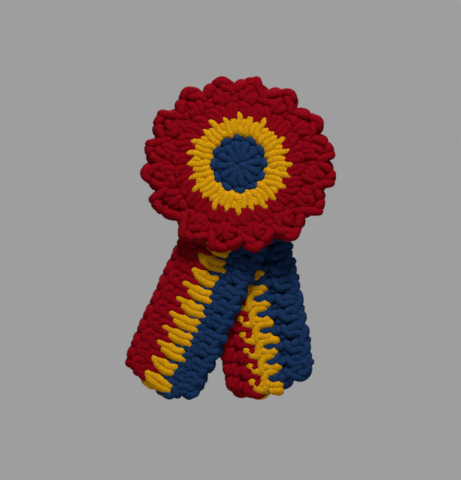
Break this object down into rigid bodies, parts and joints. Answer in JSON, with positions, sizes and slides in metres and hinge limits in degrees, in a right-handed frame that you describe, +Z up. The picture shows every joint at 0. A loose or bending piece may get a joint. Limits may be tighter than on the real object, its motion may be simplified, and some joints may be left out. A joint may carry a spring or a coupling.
{
  "type": "award ribbon",
  "caption": "Crocheted rosette award ribbon: ringed round with a scalloped edge, a folded striped strip hanging as two tails, and a hinged bar pin with a turning catch on the back.",
  "frame": {"origin": "on the axis of the pin's stem, at the middle of the bar's length", "axes": "+X along the pin's stem towards its point, which is the viewer's right; +Z up as worn; the front of the rosette faces -Y"},
  "size_m": [0.0636, 0.014, 0.0985],
  "materials": {
    "red_yarn": "matte plied worsted yarn, crocheted",
    "yellow_yarn": "matte plied worsted yarn, crocheted",
    "blue_yarn": "matte plied worsted yarn, crocheted",
    "sewing_thread": "doubled sewing thread",
    "plated_steel": "nickel plate with fine drawing lines"
  },
  "bodies": {
    "rosette": {"centre_round": "blue_yarn", "yellow_round": "yellow_yarn", "red_round": "red_yarn", "scallop_edge": "red_yarn", "fold_red": "red_yarn", "fold_yellow": "yellow_yarn", "fold_blue": "blue_yarn", "strip_stitches": "red_yarn", "blue_yarn_end": "blue_yarn", "yellow_yarn_end": "yellow_yarn", "red_yarn_end": "red_yarn", "pin_bar": "plated_steel", "bar_stitches": "sewing_thread", "hinge_rivet": "plated_steel"},
    "left_tail": {"left_tail_red": "red_yarn", "left_tail_yellow": "yellow_yarn", "left_tail_blue": "blue_yarn"},
    "right_tail": {"right_tail_red": "red_yarn", "right_tail_yellow": "yellow_yarn", "right_tail_blue": "blue_yarn"},
    "stem": {"pin_stem": "plated_steel"},
    "barrel": {"catch_barrel": "plated_steel"}
  },
  "joints": [
    {"name": "left_tail_lift", "type": "hinge", "parent": "rosette", "child": "left_tail", "pos_m": [-0.00726, -0.0014, -0.03932], "axis": [-0.91, 0, 0.4147], "range_deg": [0, 75]},
    {"name": "right_tail_lift", "type": "hinge", "parent": "rosette", "child": "right_tail", "pos_m": [0.003, 0.0029, -0.03957], "axis": [0.9833, 0, 0.1822], "range_deg": [0, 60]},
    {"name": "stem_swing", "type": "hinge", "parent": "rosette", "child": "stem", "pos_m": [-0.0114, 0, 0], "axis": [0, 0, 1], "range_deg": [0, 80]},
    {"name": "barrel_turn", "type": "hinge", "parent": "rosette", "child": "barrel", "pos_m": [0.0108, 0, 0], "axis": [1, 0, 0], "range_deg": [0, 100]}
  ]
}
